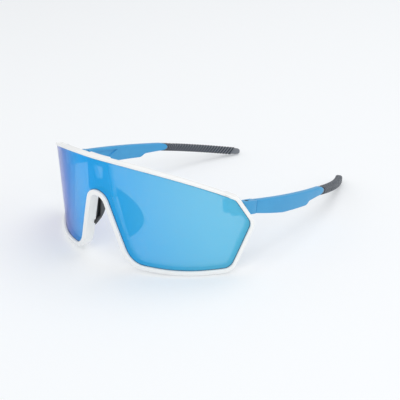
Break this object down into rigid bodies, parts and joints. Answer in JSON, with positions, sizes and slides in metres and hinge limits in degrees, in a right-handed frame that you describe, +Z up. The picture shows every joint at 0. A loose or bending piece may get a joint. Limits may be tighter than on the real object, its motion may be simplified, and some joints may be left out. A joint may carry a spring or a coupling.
{
  "type": "sport sunglasses",
  "caption": "Wraparound shield sunglasses: one curved mirrored lens in a full rim, nose pads behind the arch, folding temples with ribbed rubber tips.",
  "frame": {"origin": "middle of the footprint, on the surface that the lower rim and the ear tips rest on", "axes": "+X to the right as seen from the front, +Y from the lens back along the temples, +Z up"},
  "size_m": [0.1464, 0.1564, 0.0613],
  "materials": {
    "rim_white": "glossy white moulded nylon",
    "lens_mirror": "blue mirror-coated polycarbonate",
    "temple_blue": "satin light blue moulded nylon",
    "rubber_grey": "soft grey rubber",
    "clip_black": "black moulded plastic",
    "screw_steel": "dark steel",
    "nut_brass": "brass"
  },
  "bodies": {
    "front": {"front_frame": "rim_white", "shield_lens": "lens_mirror", "nose_pad_right": "rubber_grey", "nose_pad_left": "rubber_grey", "nose_pad_clip_right": "clip_black", "nose_pad_clip_left": "clip_black", "hinge_block_right": "temple_blue", "hinge_block_left": "temple_blue", "hinge_block_screw_right": "screw_steel", "hinge_block_screw_left": "screw_steel", "hinge_screw_right": "screw_steel", "hinge_screw_left": "screw_steel", "hinge_nut_right": "nut_brass", "hinge_nut_left": "nut_brass"},
    "temple_right": {"temple_arm_right": "temple_blue", "ear_tip_right": "rubber_grey"},
    "temple_left": {"temple_arm_left": "temple_blue", "ear_tip_left": "rubber_grey"}
  },
  "joints": [
    {"name": "right_fold", "type": "hinge", "parent": "front", "child": "temple_right", "pos_m": [0.06465, -0.03378, 0.03195], "axis": [0, 0.2521, 0.9677], "range_deg": [0, 74]},
    {"name": "left_fold", "type": "hinge", "parent": "front", "child": "temple_left", "pos_m": [-0.06465, -0.03378, 0.03195], "axis": [0, -0.2521, -0.9677], "range_deg": [0, 84]}
  ]
}
